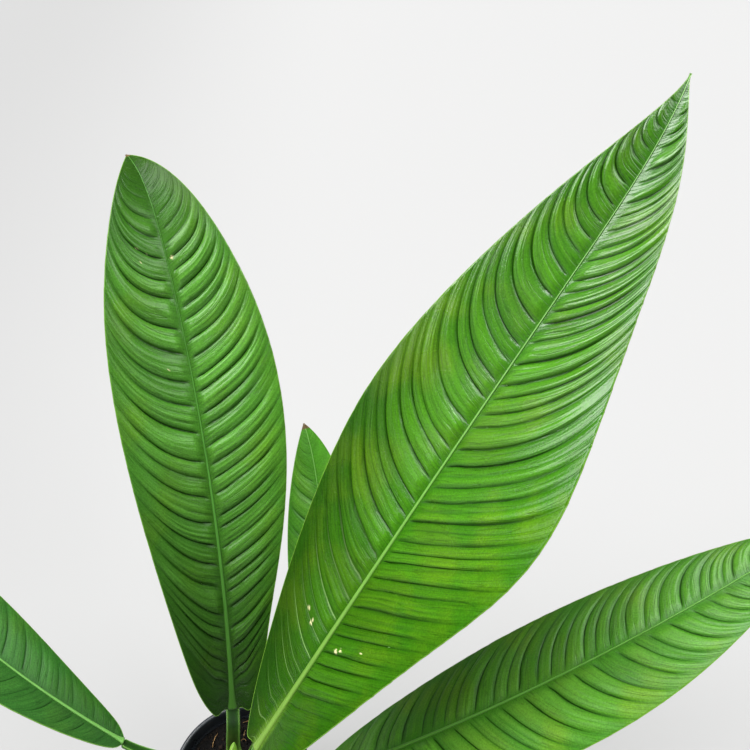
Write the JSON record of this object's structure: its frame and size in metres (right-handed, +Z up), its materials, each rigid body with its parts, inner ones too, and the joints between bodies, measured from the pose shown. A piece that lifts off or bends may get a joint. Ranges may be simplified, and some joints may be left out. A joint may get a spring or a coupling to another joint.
{
  "type": "potted philodendron",
  "caption": "Self-heading philodendron with long quilted lance-shaped leaves on short stalks, in a round black nursery pot of potting mix.",
  "frame": {"origin": "middle of the pot's underside, on the surface it stands on", "axes": "+Z up along the pot's axis, +X to the right and +Y to the back, seen with the largest leaf leaning back and right"},
  "size_m": [0.6962, 0.583, 0.5925],
  "materials": {
    "black_pot_plastic": "satin",
    "potting_mix": "matte",
    "stem_skin": "matte",
    "new_leaf": "satin",
    "leaf_stalk": "satin",
    "leaf_1_green": "satin",
    "leaf_2_green": "satin",
    "leaf_3_green": "satin",
    "leaf_4_green": "satin",
    "leaf_5_green": "satin",
    "leaf_6_green": "satin",
    "leaf_7_green": "satin"
  },
  "bodies": {
    "root": {"pot": "black_pot_plastic", "soil": "potting_mix", "stem": "stem_skin", "new_leaf_spear": "new_leaf", "leaf_1_blade": "leaf_1_green", "leaf_2_blade": "leaf_2_green", "leaf_3_blade": "leaf_3_green", "leaf_4_blade": "leaf_4_green", "leaf_5_blade": "leaf_5_green", "leaf_6_blade": "leaf_6_green", "leaf_7_blade": "leaf_7_green", "leaf_1_stalk": "leaf_stalk", "leaf_2_stalk": "leaf_stalk", "leaf_3_stalk": "leaf_stalk", "leaf_4_stalk": "leaf_stalk", "leaf_5_stalk": "leaf_stalk", "leaf_6_stalk": "leaf_stalk", "leaf_7_stalk": "leaf_stalk"}
  },
  "joints": []
}
